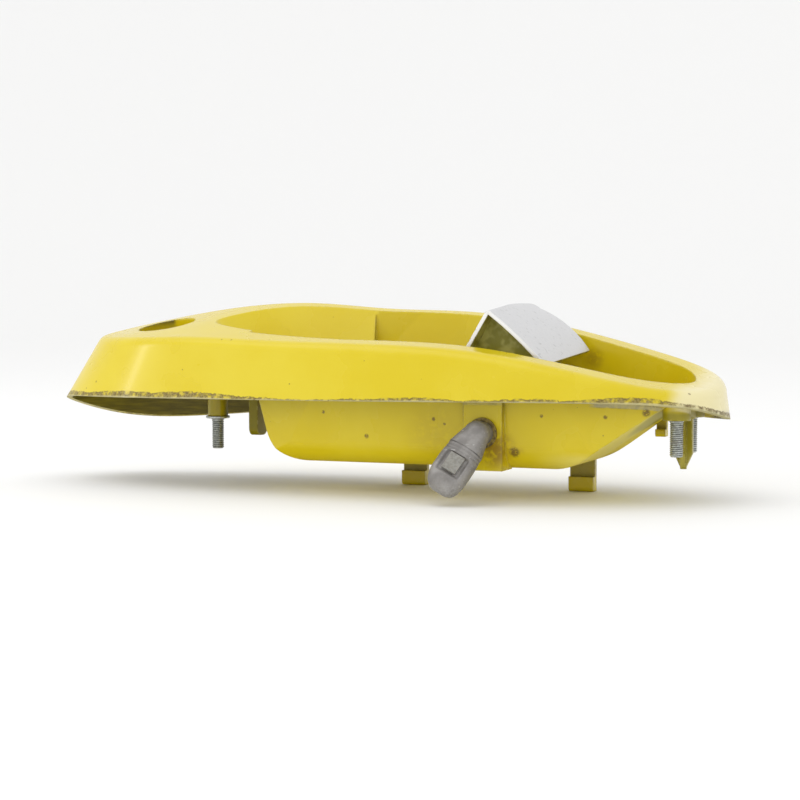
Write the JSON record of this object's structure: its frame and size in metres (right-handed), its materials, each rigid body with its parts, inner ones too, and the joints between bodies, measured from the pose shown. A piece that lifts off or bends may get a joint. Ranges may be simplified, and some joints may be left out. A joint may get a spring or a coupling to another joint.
{
  "type": "car door handle pod",
  "caption": "Exterior car door handle pod: painted hollow moulding with finger recess, pull paddle on a sprung shaft, crank lever, lock bore, mounting studs, locating peg and snap hooks.",
  "frame": {"origin": "axis of the locating peg, midway between the two end studs, at the height of their boss faces", "axes": "+X along the pod from its thick end to its low end, +Z along the studs and out of the door skin, -Y on the side of the crank lever"},
  "size_m": [0.2854, 0.1012, 0.0753],
  "materials": {
    "yellow_paint": "glossy yellow paint on a moulded body",
    "zinc_steel": "dull zinc plating",
    "silver_paint": "satin silver paint",
    "bright_steel": "bright steel",
    "white_plastic": "matte",
    "black_rubber": "matte",
    "grey_casting": "dull die-cast",
    "clip_plastic": "matte"
  },
  "bodies": {
    "pod": {"housing": "yellow_paint", "left_stud": "zinc_steel", "right_near_stud": "zinc_steel", "right_far_stud": "zinc_steel", "left_washer": "zinc_steel", "near_bush": "white_plastic", "far_bush": "white_plastic", "pivot_seal": "black_rubber", "end_washer": "zinc_steel", "return_spring": "bright_steel", "stop_buffer": "black_rubber"},
    "pull": {"paddle": "silver_paint", "pivot_shaft": "bright_steel", "crank_boss": "grey_casting", "crank_sleeve": "grey_casting", "rod_clip": "clip_plastic", "rod_clip_pin": "bright_steel", "lever_pin": "bright_steel", "paddle_near_pin": "bright_steel", "paddle_far_pin": "bright_steel", "circlip": "bright_steel"}
  },
  "joints": [
    {"name": "paddle_pull", "type": "hinge", "parent": "pod", "child": "pull", "pos_m": [-0.0694, 0, -0.0053], "axis": [0, 1, 0], "range_deg": [0, 28], "stiffness_Nm_per_rad": 0.25, "springref_deg": -22.92}
  ]
}
